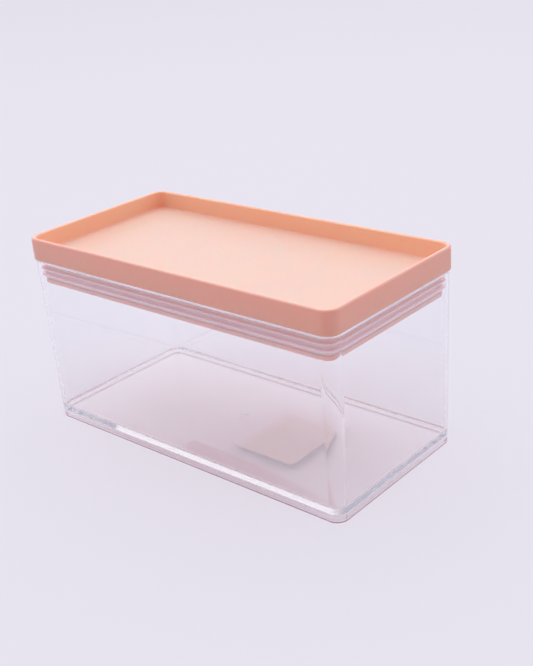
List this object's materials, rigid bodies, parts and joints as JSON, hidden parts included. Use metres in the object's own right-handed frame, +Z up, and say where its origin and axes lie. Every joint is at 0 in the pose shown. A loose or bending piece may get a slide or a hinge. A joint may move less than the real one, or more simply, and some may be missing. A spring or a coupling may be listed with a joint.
{
  "type": "food storage container",
  "caption": "Clear rectangular food storage box with a press-in tray-top lid, a soft two-fin seal and a raised foot under the floor.",
  "frame": {"origin": "middle of the foot's footprint, on the surface that the box stands on", "axes": "+X along the long side, +Y along the short side, +Z up and the way the lid lifts off"},
  "size_m": [0.2, 0.098, 0.1048],
  "materials": {
    "clear_plastic": "clear polished styrene",
    "peach_tray": "satin moulded plastic, peach",
    "peach_plug": "satin moulded plastic, peach",
    "silicone": "milky translucent silicone",
    "label_paper": "blank matt paper"
  },
  "bodies": {
    "box": {"container": "clear_plastic", "base_label": "label_paper"},
    "lid": {"lid_tray": "peach_tray", "lid_plug": "peach_plug", "lid_gasket": "silicone"}
  },
  "joints": [
    {"name": "lid_lift", "type": "slide", "parent": "box", "child": "lid", "axis": [0, 0, 1], "range_m": [0, 0.08]}
  ]
}
